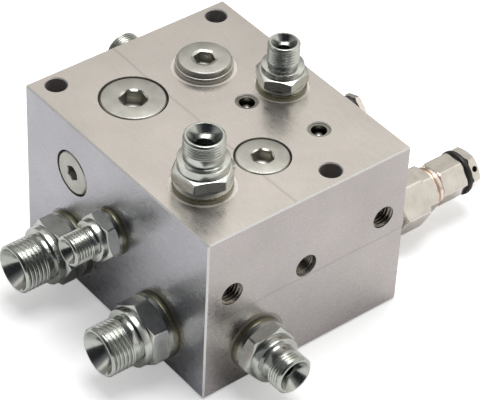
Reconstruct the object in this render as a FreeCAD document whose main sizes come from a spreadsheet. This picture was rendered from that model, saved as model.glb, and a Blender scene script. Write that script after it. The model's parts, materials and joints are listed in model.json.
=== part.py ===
import FreeCAD, Part
import math
import os
from types import SimpleNamespace

import Sketcher

# Hydraulic manifold block with two non-return valves, a relief valve, a throttle, seven screwed-in
# adapters and its closing plugs. Millimetres, +Z up. The origin is the middle of the mounting face
# underneath. X runs along the front face, Y from the front face (-Y) to the back face (+Y).

VALUES = [
    # the block and the fits that everything shares
    ("block_width", 100.0, "block along X"),
    ("block_depth", 120.0, "block along Y"),
    ("block_height", 80.0, "block along Z"),
    ("block_edge", 0.6, "chamfer on the edges of the block"),
    ("thread_play", 0.05, "radial room of a screwed joint"),
    ("slide_play", 0.05, "radial room of a sliding guide"),
    ("press_play", 0.02, "radial gap left in a pressed joint"),
    ("free_play", 0.3, "room between curved faces that only pass each other"),
    # where the galleries run, from the middle of the block and from the mounting face
    ("front_lane_y", -30.4, "inlet gallery to the relief valve"),
    ("front_lane_z", 18.5, "height of the front inlet gallery"),
    ("rear_lane_y", 28.0, "inlet gallery to the throttle"),
    ("rear_lane_z", 19.2, "height of the rear inlet gallery"),
    ("middle_lane_y", 0.0, "outlet gallery behind the front check valve"),
    ("middle_lane_z", 45.5, "height of the middle gallery"),
    ("upper_lane_z", 55.6, "height of the gallery behind the rear check valve"),
    ("outlet_lane_z", 54.3, "height of the outlet gallery to the back face"),
    ("junction_x", 15.5, "outlet gallery, raised plug and riser"),
    ("tank_lane_x", 28.6, "tank gallery along Y"),
    ("gauge_x", -0.8, "gauge port and front check valve"),
    ("gauge_z", 44.5, "height of the gauge port"),
    ("rear_check_x", -20.0, "rear check valve"),
    ("lane_radius", 4.0, "galleries"),
    ("wide_lane_radius", 5.0, "rear inlet gallery"),
    ("thin_lane_radius", 3.5, "risers"),
    ("gauge_lane_radius", 4.5, "gauge drilling behind the gauge port"),
    # ports
    ("top_front_x", -30.0, "medium adapter on the top face"),
    ("top_tank_x", 33.2, "small adapter on the top face"),
    ("front_port_x", -24.6, "medium adapter on the front face"),
    ("front_port_z", 17.3, "height of the front adapter"),
    ("relief_riser_x", 27.6, "expander plug over the relief valve"),
    ("spot_depth", 0.2, "depth of a spot face"),
    # mounting and tapped holes
    ("mount_radius", 4.5, "through holes"),
    ("mount_chamfer", 0.4, "their edge chamfer"),
    ("mount_rear_y", 52.8, "rear pair of through holes"),
    ("mount_left_x", -40.0, "left hole of the rear pair"),
    ("mount_right_x", 40.8, "right hole of the rear pair"),
    ("mount_front_x", 15.2, "third through hole"),
    ("mount_front_y", -52.4, "third through hole"),
    ("tapped_radius", 5.1, "tapped holes and gauge port in the front face"),
    ("tapped_depth", 20.0, "their depth"),
    ("tapped_left_x", -37.6, "left tapped hole"),
    ("tapped_right_x", 38.4, "right tapped hole"),
    ("tapped_z", 49.5, "height of the tapped holes"),
    ("gauge_depth", 14.0, "depth of the gauge port"),
    # adapters, small size
    ("small_thread", 6.58, "thread radius, 1/4 in parallel"),
    ("small_screwed", 11.0, "length screwed into the block"),
    ("small_bore", 3.0, "flow bore radius"),
    ("small_spot", 11.5, "spot face radius"),
    ("small_ring", 10.3, "bonded seal outer radius"),
    ("small_ring_thick", 2.4, "bonded seal thickness"),
    ("small_collar", 9.9, "washer face radius"),
    ("small_collar_top", 3.9, "height of the washer face above the block"),
    ("small_flats", 19.0, "across the flats"),
    ("small_hex_top", 8.8, "top of the hexagon"),
    ("small_hex_round", 9.3, "radius where the 30 degree chamfer starts"),
    ("small_shoulder", 8.7, "shoulder radius"),
    ("small_shoulder_top", 11.5, "top of the shoulder"),
    ("small_neck", 6.2, "neck radius"),
    ("small_neck_top", 13.6, "top of the neck"),
    ("small_tip_foot", 21.4, "where the end chamfer starts"),
    ("small_tip_radius", 5.9, "radius of the end face"),
    ("small_tip", 22.1, "height of the end face"),
    ("small_mouth", 5.3, "radius of the 60 degree cone at its mouth"),
    # adapters, medium size
    ("medium_thread", 8.33, "thread radius, 3/8 in parallel"),
    ("medium_screwed", 11.5, "length screwed into the block"),
    ("medium_bore", 4.0, "flow bore radius"),
    ("medium_spot", 13.5, "spot face radius"),
    ("medium_ring", 11.95, "bonded seal outer radius"),
    ("medium_ring_thick", 2.6, "bonded seal thickness"),
    ("medium_collar", 11.8, "washer face radius"),
    ("medium_collar_top", 4.6, "height of the washer face above the block"),
    ("medium_flats", 22.0, "across the flats"),
    ("medium_hex_top", 9.9, "top of the hexagon"),
    ("medium_hex_round", 10.8, "radius where the 30 degree chamfer starts"),
    ("medium_shoulder", 10.35, "shoulder radius"),
    ("medium_shoulder_top", 13.6, "top of the shoulder"),
    ("medium_neck", 8.0, "neck radius"),
    ("medium_neck_top", 18.0, "top of the neck"),
    ("medium_tip_foot", 23.7, "where the end chamfer starts"),
    ("medium_tip_radius", 7.6, "radius of the end face"),
    ("medium_tip", 24.5, "height of the end face"),
    ("medium_mouth", 6.9, "radius of the 60 degree cone at its mouth"),
    # adapters, large size
    ("large_thread", 10.48, "thread radius, 1/2 in parallel"),
    ("large_screwed", 14.0, "length screwed into the block"),
    ("large_bore", 5.5, "flow bore radius"),
    ("large_spot", 15.2, "spot face radius"),
    ("large_ring", 14.3, "bonded seal outer radius"),
    ("large_ring_thick", 2.7, "bonded seal thickness"),
    ("large_collar", 14.0, "washer face radius"),
    ("large_collar_top", 4.5, "height of the washer face above the block"),
    ("large_flats", 25.4, "across the flats"),
    ("large_hex_top", 12.0, "top of the hexagon"),
    ("large_hex_round", 12.6, "radius where the 30 degree chamfer starts"),
    ("large_shoulder", 12.5, "shoulder radius"),
    ("large_shoulder_top", 15.3, "top of the shoulder"),
    ("large_neck", 10.0, "neck radius"),
    ("large_neck_top", 18.5, "top of the neck"),
    ("large_tip_foot", 28.4, "where the end chamfer starts"),
    ("large_tip_radius", 9.8, "radius of the end face"),
    ("large_tip", 29.2, "height of the end face"),
    ("large_mouth", 9.2, "radius of the 60 degree cone at its mouth"),
    ("port_extra", 2.0, "port depth beyond the screwed end"),
    ("ring_width_inside", 1.5, "width of the rubber lip inside a seal ring"),
    # plugs
    ("plug_chamfer", 0.6, "edge chamfer of a plug head"),
    ("plug_room", 0.7, "room between a flush head and its counterbore"),
    ("gasket_thick", 1.2, "soft ring under a flush head"),
    ("gasket_rim", 1.2, "metal rim round that ring"),
    ("small_head", 9.5, "flush plug head radius"),
    ("medium_head", 10.95, "flush plug head radius"),
    ("large_head", 13.5, "flush plug head radius"),
    ("head_thick", 5.0, "thickness of the flush heads"),
    ("raised_head", 11.15, "raised plug head radius"),
    ("raised_head_thick", 2.3, "raised plug head thickness"),
    ("small_socket", 6.0, "socket across flats"),
    ("medium_socket", 8.0, "socket across flats"),
    ("large_socket", 10.0, "socket across flats"),
    ("socket_share", 0.75, "socket depth as a share of its width across flats"),
    ("plug_screwed", 10.0, "thread length of the plugs"),
    ("guide_wall", 1.5, "metal left between a socket and the poppet guide under it"),
    # expander plugs
    ("expander_radius", 4.5, "sleeve outer radius"),
    ("expander_length", 9.0, "sleeve length"),
    ("expander_inner", 3.3, "sleeve inner radius"),
    ("expander_floor", 1.0, "sleeve floor thickness"),
    ("expander_sunk", 0.6, "sleeve rim below the face"),
    ("expander_mouth", 4.9, "radius of the chamfer at the face"),
    # rear check valve, heights from the mounting face
    ("rear_seat_foot", 34.0, "underside of the seat"),
    ("rear_seat_top", 38.0, "flat land of the seat"),
    ("rear_chamber", 9.3, "chamber radius"),
    ("rear_seat_bore", 5.5, "seat bore radius"),
    ("rear_disc", 7.2, "poppet disc radius"),
    ("rear_disc_thick", 3.0, "poppet disc thickness"),
    ("rear_nose", 5.0, "length of the poppet nose"),
    ("rear_stem", 3.0, "poppet stem radius"),
    ("rear_stem_below", 13.6, "top of the closed stem, below the top face"),
    ("rear_wire", 1.2, "spring wire"),
    ("rear_coil", 4.9, "spring mean radius"),
    ("rear_coils", 5.0, "turns of the spring"),
    # front check valve
    ("front_seat_foot", 33.0, "underside of the seat"),
    ("front_seat_top", 37.0, "flat land of the seat"),
    ("front_chamber", 7.4, "chamber radius"),
    ("front_seat_bore", 4.0, "seat bore radius"),
    ("front_disc", 5.6, "poppet disc radius"),
    ("front_disc_thick", 2.5, "poppet disc thickness"),
    ("front_nose", 4.0, "length of the poppet nose"),
    ("front_stem", 2.5, "poppet stem radius"),
    ("front_stem_below", 11.8, "top of the closed stem, below the top face"),
    ("front_wire", 1.0, "spring wire"),
    ("front_coil", 4.0, "spring mean radius"),
    ("front_coils", 6.0, "turns of the spring"),
    # relief valve, lengths along X from the right face, negative inside the block
    ("relief_thread", 9.0, "thread radius of the body"),
    ("relief_screwed", 12.0, "length screwed into the block"),
    ("relief_chamber", 8.0, "outlet chamber radius"),
    ("relief_seat_land", -30.0, "flat land of the seat"),
    ("relief_seat_thick", 4.0, "seat thickness"),
    ("relief_seat_bore", 3.5, "seat bore radius"),
    ("relief_disc", 5.0, "poppet disc radius"),
    ("relief_disc_thick", 2.5, "poppet disc thickness"),
    ("relief_nose", 3.0, "length of the poppet nose"),
    ("relief_stem", 2.5, "poppet stem radius"),
    ("relief_guide", 6.0, "bore of the body"),
    ("relief_piston_foot", -9.0, "start of the guided piston"),
    ("relief_piston_top", -2.5, "spring seat on the piston"),
    ("relief_spring_top", 17.0, "spring seat on the plate"),
    ("relief_plate_thick", 2.5, "spring plate thickness"),
    ("relief_wire", 1.5, "spring wire"),
    ("relief_coil", 4.6, "spring mean radius"),
    ("relief_coils", 5.0, "turns of the spring"),
    ("relief_ring", 12.7, "bonded seal outer radius"),
    ("relief_collar", 12.5, "collar radius"),
    ("relief_collar_top", 6.0, "outer end of the collar"),
    ("relief_barrel", 10.8, "barrel radius"),
    ("relief_hex_foot", 18.7, "start of the body hexagon"),
    ("relief_hex_top", 33.0, "end of the body hexagon"),
    ("relief_flats", 24.0, "body hexagon across flats"),
    ("relief_hex_round", 11.7, "radius of its end faces"),
    ("relief_end_wall", 6.5, "tapped end wall of the body"),
    ("adjust_radius", 5.0, "adjusting screw radius"),
    ("adjust_top", 48.0, "outer end of the adjusting screw"),
    ("adjust_socket", 4.0, "socket across flats"),
    ("lock_flats", 19.0, "lock nut across flats"),
    ("lock_round", 9.3, "radius of its end faces"),
    ("nut_flats", 17.0, "cap nut and closing screw across flats"),
    ("nut_round", 8.3, "radius of their end faces"),
    ("nut_top", 40.2, "outer face of the lock nut"),
    ("lock_boss", 0.5, "raised washer face of the lock nut"),
    ("cap_boss", 2.0, "raised washer face of the cap nut"),
    ("washer_radius", 9.2, "copper washer"),
    ("washer_thick", 1.5, "copper washer"),
    ("cap_top", 57.0, "outer face of the cap nut"),
    ("cap_room_top", 52.0, "floor of the room for the adjusting screw"),
    ("cap_ring_radius", 10.0, "sealing ring of the closing screw"),
    ("cap_ring_thick", 2.4, "sealing ring of the closing screw"),
    ("cap_ring_edge", 0.5, "rounded edge of that ring"),
    ("closing_shank", 4.0, "closing screw thread radius"),
    ("closing_shank_end", 52.6, "inner end of its shank"),
    ("closing_hex_top", 64.2, "end of its hexagon"),
    ("closing_top", 66.2, "top of its dome"),
    ("closing_top_radius", 5.0, "radius of its end face"),
    ("wire_hole", 1.3, "hole for the seal wire"),
    ("wire_hole_at", 62.0, "place of that hole"),
    # throttle, lengths along X from the right face
    ("throttle_chamber", 7.0, "outlet chamber radius"),
    ("throttle_land", -28.0, "flat land in the block"),
    ("throttle_nose", 4.0, "length of the needle nose"),
    ("throttle_disc", 5.8, "needle disc radius"),
    ("throttle_disc_thick", 3.0, "needle disc thickness"),
    ("throttle_guide", 4.0, "bore of the body"),
    ("throttle_split", -2.0, "where needle and spindle meet"),
    ("throttle_screwed", 12.0, "length screwed into the block"),
    ("throttle_hex_top", 12.0, "end of the body hexagon"),
    ("throttle_barrel", 9.0, "barrel radius"),
    ("throttle_barrel_top", 36.0, "end of the barrel"),
    ("throttle_neck", 7.2, "neck radius"),
    ("throttle_neck_top", 47.0, "end of the body"),
    ("wiper_radius", 6.8, "wiper ring"),
    ("wiper_thick", 2.4, "wiper ring"),
    ("spindle_flats", 12.6, "spindle hexagon across flats"),
    ("spindle_round", 6.8, "radius of its end face"),
    ("spindle_top", 52.0, "end of the spindle"),
]

ROOT3 = math.sqrt(3.0)
SLOPE = math.tan(math.radians(30.0))

UP = "up"
LEFT = "left"
RIGHT = "right"
FRONT = "front"
BACK = "back"

# How a solid built along Z is turned to point out of each face.
TURNS = {
    UP: FreeCAD.Rotation(),
    LEFT: FreeCAD.Rotation(FreeCAD.Vector(0, 1, 0), -90),
    RIGHT: FreeCAD.Rotation(FreeCAD.Vector(0, 1, 0), 90),
    FRONT: FreeCAD.Rotation(FreeCAD.Vector(1, 0, 0), 90),
    BACK: FreeCAD.Rotation(FreeCAD.Vector(1, 0, 0), -90),
}

# How far a sketch on an upright plane is turned so that its own Y points out of each face.
QUARTERS = {UP: 0, LEFT: 90, RIGHT: -90, FRONT: 90, BACK: -90}


class Size:
    """A length that keeps its value and the formula that ties it to the cells of the sheet."""

    def __init__(self, value, text):
        self.value = value
        self.text = text

    def __add__(self, other):
        other = as_size(other)
        return Size(self.value + other.value, "(%s + %s)" % (self.text, other.text))

    def __sub__(self, other):
        other = as_size(other)
        return Size(self.value - other.value, "(%s - %s)" % (self.text, other.text))

    def __mul__(self, other):
        other = as_size(other)
        return Size(self.value * other.value, "(%s * %s)" % (self.text, other.text))

    def __truediv__(self, other):
        other = as_size(other)
        return Size(self.value / other.value, "(%s / %s)" % (self.text, other.text))

    def __rsub__(self, other):
        return as_size(other) - self

    def __neg__(self):
        return as_size(0) - self

    __radd__ = __add__
    __rmul__ = __mul__


def as_size(number):
    if isinstance(number, Size):
        return number
    return Size(float(number), "(%.9f)" % number)


def make_sheet(doc):
    """Write every value to a cell of its own and give back one Size for each."""
    sheet = doc.addObject("Spreadsheet::Sheet", "Sizes")
    sizes = SimpleNamespace()
    for row, (name, value, note) in enumerate(VALUES, start=1):
        sheet.set("A%d" % row, name)
        sheet.set("B%d" % row, repr(value))
        sheet.set("C%d" % row, note)
        sheet.setAlias("B%d" % row, name)
        setattr(sizes, name, Size(value, "Sizes.%s" % name))
    doc.recompute()
    return sizes


def kind_of(sizes, word):
    """The sizes whose names begin with the word, such as small, without that word."""
    start = word + "_"
    found = {name[len(start):]: size for name, size in vars(sizes).items() if name.startswith(start)}
    return SimpleNamespace(**found)


def origin_plane(body, role):
    for feature in body.Origin.OriginFeatures:
        if feature.Role == role:
            return feature
    raise ValueError(role)


def new_body(doc, name):
    body = doc.addObject("PartDesign::Body", name)
    body.Label = name
    return body


def new_sketch(body, name, plane):
    sketch = body.newObject("Sketcher::SketchObject", name)
    sketch.AttachmentSupport = (origin_plane(body, plane), [""])
    sketch.MapMode = "FlatFace"
    return sketch


def bind(target, path, size):
    target.setExpression(path, size.text)


def draw_loop(sketch, points):
    """Close a loop of straight edges and tie every corner (across, up) to the sheet."""
    points = [(as_size(across), as_size(up)) for across, up in points]
    first = sketch.GeometryCount
    count = len(points)
    edges = []
    joins = []
    for index, (across, up) in enumerate(points):
        follower = (index + 1) % count
        start = FreeCAD.Vector(across.value, up.value, 0)
        end = FreeCAD.Vector(points[follower][0].value, points[follower][1].value, 0)
        edges.append(Part.LineSegment(start, end))
        joins.append(Sketcher.Constraint("Coincident", first + index, 2, first + follower, 1))
    sketch.addGeometry(edges, False)
    sketch.addConstraint(joins)
    ties = []
    texts = []
    for index, (across, up) in enumerate(points):
        for kind, axis, size in (("DistanceX", -2, across), ("DistanceY", -1, up)):
            if abs(size.value) < 1e-9:
                ties.append(Sketcher.Constraint("PointOnObject", first + index, 1, axis))
                texts.append(None)
            else:
                ties.append(Sketcher.Constraint(kind, -1, 1, first + index, 1, size.value))
                texts.append(size.text)
    start = sketch.ConstraintCount
    sketch.addConstraint(ties)
    for offset, text in enumerate(texts):
        if text is not None:
            sketch.setExpression("Constraints[%d]" % (start + offset), text)


def draw_circle(sketch, radius):
    """A circle round the origin of the sketch."""
    middle = FreeCAD.Vector(0, 0, 0)
    line = sketch.addGeometry(Part.Circle(middle, FreeCAD.Vector(0, 0, 1), radius.value), False)
    sketch.addConstraint(Sketcher.Constraint("Coincident", line, 3, -1, 1))
    tie = sketch.addConstraint(Sketcher.Constraint("Radius", line, radius.value))
    sketch.setExpression("Constraints[%d]" % tie, radius.text)


def hexagon(flats):
    """Corner points of a hexagon with the given width across flats, one corner on +X."""
    corner = flats / ROOT3
    angles = [math.radians(60 * step) for step in range(6)]
    return [(corner * math.cos(angle), corner * math.sin(angle)) for angle in angles]


def turned(doc, name, points):
    """A body turned round Z from its half outline of (radius, height) points."""
    body = new_body(doc, name)
    sketch = new_sketch(body, name + "_outline", "XZ_Plane")
    draw_loop(sketch, points)
    turn = body.newObject("PartDesign::Revolution", name + "_turned")
    turn.Profile = sketch
    turn.ReferenceAxis = (sketch, ["V_Axis"])
    turn.Angle = 360
    return body


def mill_hexagon(body, flats, foot, top):
    """Cut six flats between the heights foot and top."""
    sketch = new_sketch(body, body.Name + "_flats", "XY_Plane")
    bind(sketch, ".AttachmentOffset.Base.z", top)
    draw_loop(sketch, hexagon(flats))
    draw_circle(sketch, flats)
    cut = body.newObject("PartDesign::Pocket", body.Name + "_milled")
    cut.Profile = sketch
    bind(cut, "Length", top - foot)


def broach_socket(body, flats, top, depth):
    """Sink a hexagon socket from the height top."""
    sketch = new_sketch(body, body.Name + "_key", "XY_Plane")
    bind(sketch, ".AttachmentOffset.Base.z", top)
    draw_loop(sketch, hexagon(flats))
    cut = body.newObject("PartDesign::Pocket", body.Name + "_socket")
    cut.Profile = sketch
    bind(cut, "Length", depth)


def hex_outline(flats, round_radius, foot_radius, foot, top):
    """Outline of a turned blank for a hexagon, with 30 degree chamfers at both ends."""
    blank = flats * 0.6
    return [
        (foot_radius, foot),
        (blank, foot + (blank - foot_radius) * SLOPE),
        (blank, top - (blank - round_radius) * SLOPE),
        (round_radius, top),
    ]


def place(body, way, spot, spin=0.0):
    """Put the origin of a body on a spot, its Z pointing the given way."""
    turn = TURNS[way].multiply(FreeCAD.Rotation(FreeCAD.Vector(0, 0, 1), spin))
    spot = [as_size(length) for length in spot]
    body.Placement = FreeCAD.Placement(FreeCAD.Vector(*[length.value for length in spot]), turn)
    for letter, length in zip("xyz", spot):
        bind(body, ".Placement.Base." + letter, length)


def on_top(sizes, x, y):
    return (x, y, sizes.block_height)


def on_left(sizes, y, z):
    return (-sizes.block_width / 2, y, z)


def on_right(sizes, y, z):
    return (sizes.block_width / 2, y, z)


def on_front(sizes, x, z):
    return (x, -sizes.block_depth / 2, z)


def on_back(sizes, x, z):
    return (x, sizes.block_depth / 2, z)


def drill(body, name, way, spot, wall):
    """Cut a turned cavity into the block; wall lists (radius, depth) from the face inwards."""
    along_y = way in (FRONT, BACK)
    sketch = new_sketch(body, name + "_outline", "YZ_Plane" if along_y else "XZ_Plane")
    x, y, z = [as_size(length) for length in spot]
    base = (y, z, x) if along_y else (x, z, -y)
    turn = FreeCAD.Rotation(FreeCAD.Vector(0, 0, 1), QUARTERS[way])
    start = FreeCAD.Vector(*[length.value for length in base])
    sketch.AttachmentOffset = FreeCAD.Placement(start, turn)
    for letter, length in zip("xyz", base):
        bind(sketch, ".AttachmentOffset.Base." + letter, length)
    loop = [(0, 1.0), (wall[0][0], 1.0)]
    loop += [(radius, -as_size(depth)) for radius, depth in wall]
    if as_size(wall[-1][0]).value > 0:
        loop.append((0, -as_size(wall[-1][1])))
    draw_loop(sketch, loop)
    cut = body.newObject("PartDesign::Groove", name)
    cut.Profile = sketch
    cut.ReferenceAxis = (sketch, ["V_Axis"])
    cut.Angle = 360


def straight_wall(steps):
    """Wall of a stepped bore from (radius, depth of its floor) steps."""
    wall = []
    depth = 0
    for radius, floor in steps:
        wall.append((radius, depth))
        wall.append((radius, floor))
        depth = floor
    return wall[1:]


def port_steps(sizes, kind, lane, reach):
    """Spot face, tapped port and drilling for an adapter."""
    tapped = kind.thread + sizes.thread_play
    return [(kind.spot, sizes.spot_depth), (tapped, kind.screwed + sizes.port_extra), (lane, reach)]


def make_block(doc, sizes, kinds):
    body = new_body(doc, "valve_block")
    half_x = sizes.block_width / 2
    half_y = sizes.block_depth / 2
    sketch = new_sketch(body, "block_outline", "XY_Plane")
    draw_loop(sketch, [(-half_x, -half_y), (half_x, -half_y), (half_x, half_y), (-half_x, half_y)])
    pad = body.newObject("PartDesign::Pad", "block_pad")
    pad.Profile = sketch
    bind(pad, "Length", sizes.block_height)
    doc.recompute()
    edges = body.newObject("PartDesign::Chamfer", "block_edges")
    edges.Base = (pad, ["Edge%d" % (index + 1) for index in range(len(pad.Shape.Edges))])
    bind(edges, "Size", sizes.block_edge)
    drill_adapter_ports(body, sizes, kinds)
    drill_plug_ports(body, sizes, kinds)
    drill_valve_rooms(body, sizes, kinds)
    drill_mounting_holes(body, sizes)
    return body


def drill_adapter_ports(body, sizes, kinds):
    small, medium, large = kinds["small"], kinds["medium"], kinds["large"]
    lane = sizes.lane_radius
    half_x = sizes.block_width / 2
    half_y = sizes.block_depth / 2
    height = sizes.block_height
    places = [
        ("port_top_front", UP, on_top(sizes, sizes.top_front_x, sizes.front_lane_y),
         medium, lane, height - sizes.front_lane_z),
        ("port_top_tank", UP, on_top(sizes, sizes.top_tank_x, sizes.middle_lane_y),
         small, lane, height - sizes.rear_lane_z),
        ("port_left_middle", LEFT, on_left(sizes, sizes.middle_lane_y, sizes.middle_lane_z),
         small, lane, half_x + sizes.junction_x + sizes.thin_lane_radius),
        ("port_left_front", LEFT, on_left(sizes, sizes.front_lane_y, sizes.front_lane_z),
         large, lane, half_x * 2 + sizes.relief_seat_land - sizes.relief_seat_thick),
        ("port_left_rear", LEFT, on_left(sizes, sizes.rear_lane_y, sizes.rear_lane_z),
         large, sizes.wide_lane_radius, half_x + sizes.rear_check_x + sizes.rear_chamber),
        ("port_front", FRONT, on_front(sizes, sizes.front_port_x, sizes.front_port_z),
         medium, lane, half_y + sizes.front_lane_y),
        ("port_back", BACK, on_back(sizes, sizes.junction_x, sizes.outlet_lane_z),
         medium, lane, half_y - sizes.middle_lane_y + sizes.thin_lane_radius),
    ]
    for name, way, spot, kind, radius, reach in places:
        drill(body, name, way, spot, straight_wall(port_steps(sizes, kind, radius, reach)))


def drill_plug_ports(body, sizes, kinds):
    small, medium, large = kinds["small"], kinds["medium"], kinds["large"]
    height = sizes.block_height
    deep = sizes.head_thick + sizes.plug_screwed + sizes.port_extra
    drill(body, "room_rear_check", UP, on_top(sizes, sizes.rear_check_x, sizes.rear_lane_y), straight_wall([
        (large.head + sizes.plug_room, sizes.head_thick),
        (large.thread + sizes.thread_play, deep),
        (sizes.rear_chamber, height - sizes.rear_seat_foot),
        (sizes.rear_seat_bore, height - sizes.rear_lane_z),
    ]))
    drill(body, "room_front_check", UP, on_top(sizes, sizes.gauge_x, sizes.front_lane_y), straight_wall([
        (medium.head + sizes.plug_room * 0.8, sizes.head_thick),
        (medium.thread + sizes.thread_play, deep),
        (sizes.front_chamber, height - sizes.front_seat_foot),
        (sizes.front_seat_bore, height - sizes.front_lane_z),
    ]))
    drill(body, "room_junction", UP, on_top(sizes, sizes.junction_x, sizes.rear_lane_y), straight_wall([
        (medium.spot, sizes.spot_depth),
        (medium.thread + sizes.thread_play, sizes.plug_screwed + sizes.port_extra),
        (sizes.front_chamber, height - sizes.outlet_lane_z + sizes.lane_radius),
    ]))
    drill(body, "lane_upper", LEFT, on_left(sizes, sizes.rear_lane_y, sizes.upper_lane_z), straight_wall([
        (small.head + sizes.plug_room, sizes.head_thick),
        (small.thread + sizes.thread_play, deep),
        (sizes.lane_radius, sizes.block_width / 2 + sizes.junction_x),
    ]))
    risers = [
        ("riser_outlet", UP, on_top(sizes, sizes.junction_x, sizes.middle_lane_y),
         height - sizes.middle_lane_z),
        ("riser_relief", UP, on_top(sizes, sizes.relief_riser_x, sizes.front_lane_y),
         height - sizes.front_lane_z),
        ("lane_tank", BACK, on_back(sizes, sizes.tank_lane_x, sizes.rear_lane_z),
         sizes.block_depth / 2 - sizes.front_lane_y),
    ]
    sleeve_end = sizes.expander_sunk + sizes.expander_length
    for name, way, spot, reach in risers:
        drill(body, name, way, spot, [
            (sizes.expander_mouth, 0),
            (sizes.expander_radius, sizes.expander_mouth - sizes.expander_radius),
            (sizes.expander_radius, sleeve_end),
            (sizes.thin_lane_radius, sleeve_end),
            (sizes.thin_lane_radius, reach),
        ])


def drill_valve_rooms(body, sizes, kinds):
    medium = kinds["medium"]
    drill(body, "room_relief", RIGHT, on_right(sizes, sizes.front_lane_y, sizes.front_lane_z), straight_wall([
        (sizes.relief_thread + sizes.thread_play, sizes.relief_screwed + sizes.port_extra),
        (sizes.relief_chamber, sizes.relief_seat_thick - sizes.relief_seat_land),
    ]))
    drill(body, "room_throttle", RIGHT, on_right(sizes, sizes.rear_lane_y, sizes.rear_lane_z), straight_wall([
        (medium.thread + sizes.thread_play, sizes.throttle_screwed + sizes.port_extra),
        (sizes.throttle_chamber, -sizes.throttle_land),
        (sizes.lane_radius, sizes.block_width / 2 - sizes.rear_check_x),
    ]))
    drill(body, "gauge_port", FRONT, on_front(sizes, sizes.gauge_x, sizes.gauge_z), straight_wall([
        (sizes.tapped_radius, sizes.gauge_depth),
        (sizes.gauge_lane_radius, sizes.block_depth / 2 + sizes.middle_lane_y),
    ]))


def drill_mounting_holes(body, sizes):
    for name, x in (("tapped_left", sizes.tapped_left_x), ("tapped_right", sizes.tapped_right_x)):
        point = sizes.tapped_depth + sizes.tapped_radius * 0.6
        drill(body, name, FRONT, on_front(sizes, x, sizes.tapped_z), [
            (sizes.tapped_radius, sizes.tapped_depth), (0, point)])
    spots = [
        ("mount_rear_left", sizes.mount_left_x, sizes.mount_rear_y),
        ("mount_rear_right", sizes.mount_right_x, sizes.mount_rear_y),
        ("mount_front", sizes.mount_front_x, sizes.mount_front_y),
    ]
    for name, x, y in spots:
        drill(body, name, UP, on_top(sizes, x, y), [
            (sizes.mount_radius + sizes.mount_chamfer, 0),
            (sizes.mount_radius, sizes.mount_chamfer),
            (sizes.mount_radius, sizes.block_height + 1),
        ])


def make_adapter(doc, sizes, kind, name, way, spot, spin):
    """Screwed-in end, washer face, hexagon, shoulder, neck and the 60 degree inner cone."""
    seat = kind.ring_thick - sizes.spot_depth
    end = -kind.screwed
    outline = [
        (kind.bore, end),
        (kind.thread - 0.8, end),
        (kind.thread, end + 0.8),
        (kind.thread, seat),
        (kind.collar, seat),
    ]
    outline += hex_outline(kind.flats, kind.hex_round, kind.collar, kind.collar_top, kind.hex_top)
    outline += [
        (kind.shoulder, kind.hex_top),
        (kind.shoulder, kind.shoulder_top),
        (kind.neck, kind.shoulder_top),
        (kind.neck, kind.neck_top),
        (kind.thread, kind.neck_top),
        (kind.thread, kind.tip_foot),
        (kind.tip_radius, kind.tip),
        (kind.mouth, kind.tip),
        (kind.bore, kind.tip - (kind.mouth - kind.bore) * ROOT3),
    ]
    body = turned(doc, name, outline)
    mill_hexagon(body, kind.flats, kind.collar_top, kind.hex_top)
    place(body, way, spot, spin)
    return body


def make_ring(doc, sizes, name, outer, thread, thick, way, spot, foot):
    """Steel ring of a bonded seal, from the height foot."""
    inner = thread + sizes.thread_play + sizes.ring_width_inside
    top = foot + thick
    body = turned(doc, name, [(inner, foot), (outer, foot), (outer, top), (inner, top)])
    place(body, way, spot)
    return body


def lip_solid(sizes, thread, thick, way, spot, foot):
    """Rubber lip between the thread and the steel ring."""
    inner = thread.value + sizes.thread_play.value
    outer = inner + sizes.ring_width_inside.value - sizes.press_play.value
    solid = Part.makeCylinder(outer, thick.value).cut(Part.makeCylinder(inner, thick.value))
    solid.translate(FreeCAD.Vector(0, 0, foot.value))
    spot = FreeCAD.Vector(*[as_size(length).value for length in spot])
    solid.Placement = FreeCAD.Placement(spot, TURNS[way]).multiply(solid.Placement)
    return solid


def make_lips(doc, name, solids):
    """One group of separate rubber lips of one size."""
    group = doc.addObject("Part::Feature", name)
    group.Label = name
    group.Shape = Part.makeCompound(solids) if len(solids) > 1 else solids[0]
    return group


def make_adapters(doc, sizes, kinds):
    places = [
        ("top_front", "medium", UP, on_top(sizes, sizes.top_front_x, sizes.front_lane_y), 36.0),
        ("top_tank", "small", UP, on_top(sizes, sizes.top_tank_x, sizes.middle_lane_y), 10.0),
        ("left_middle", "small", LEFT, on_left(sizes, sizes.middle_lane_y, sizes.middle_lane_z), 20.0),
        ("left_front", "large", LEFT, on_left(sizes, sizes.front_lane_y, sizes.front_lane_z), 5.0),
        ("left_rear", "large", LEFT, on_left(sizes, sizes.rear_lane_y, sizes.rear_lane_z), 34.0),
        ("front", "medium", FRONT, on_front(sizes, sizes.front_port_x, sizes.front_port_z), 8.0),
        ("back", "medium", BACK, on_back(sizes, sizes.junction_x, sizes.outlet_lane_z), 15.0),
    ]
    made = []
    lips = {"small": [], "medium": [], "large": []}
    foot = -sizes.spot_depth
    for word, size_word, way, spot, spin in places:
        kind = kinds[size_word]
        made.append(make_adapter(doc, sizes, kind, "adapter_" + word, way, spot, spin))
        made.append(make_ring(doc, sizes, "seal_ring_" + word, kind.ring, kind.thread,
                              kind.ring_thick, way, spot, foot))
        lips[size_word].append(lip_solid(sizes, kind.thread, kind.ring_thick, way, spot, foot))
    return made, lips


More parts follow.
